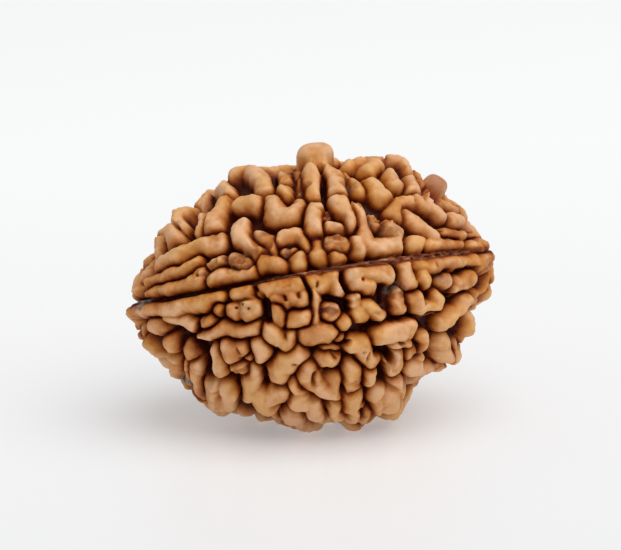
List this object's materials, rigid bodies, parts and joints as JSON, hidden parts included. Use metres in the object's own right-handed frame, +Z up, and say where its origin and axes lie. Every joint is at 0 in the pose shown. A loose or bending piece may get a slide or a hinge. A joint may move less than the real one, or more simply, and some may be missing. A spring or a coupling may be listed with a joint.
{
  "type": "rudraksha bead",
  "caption": "Knobbly oval seed stone with lobed relief, opposite clefts from end to end and a fine natural hole along its axis, lying on a small flat spot.",
  "frame": {"origin": "on the ground under the middle of the bead's outline, at the height of the small flat spot it rests on", "axes": "+X close to the bead's long axis, whose +X end is about 6 degrees higher, +Z up, -Y towards the side with the traced cleft"},
  "size_m": [0.0252, 0.0195, 0.0192],
  "materials": {
    "seed_stone": "dry woody seed stone, satin from handling, dark red-brown in its crevices"
  },
  "bodies": {
    "root": {"bead": "seed_stone"}
  },
  "joints": []
}
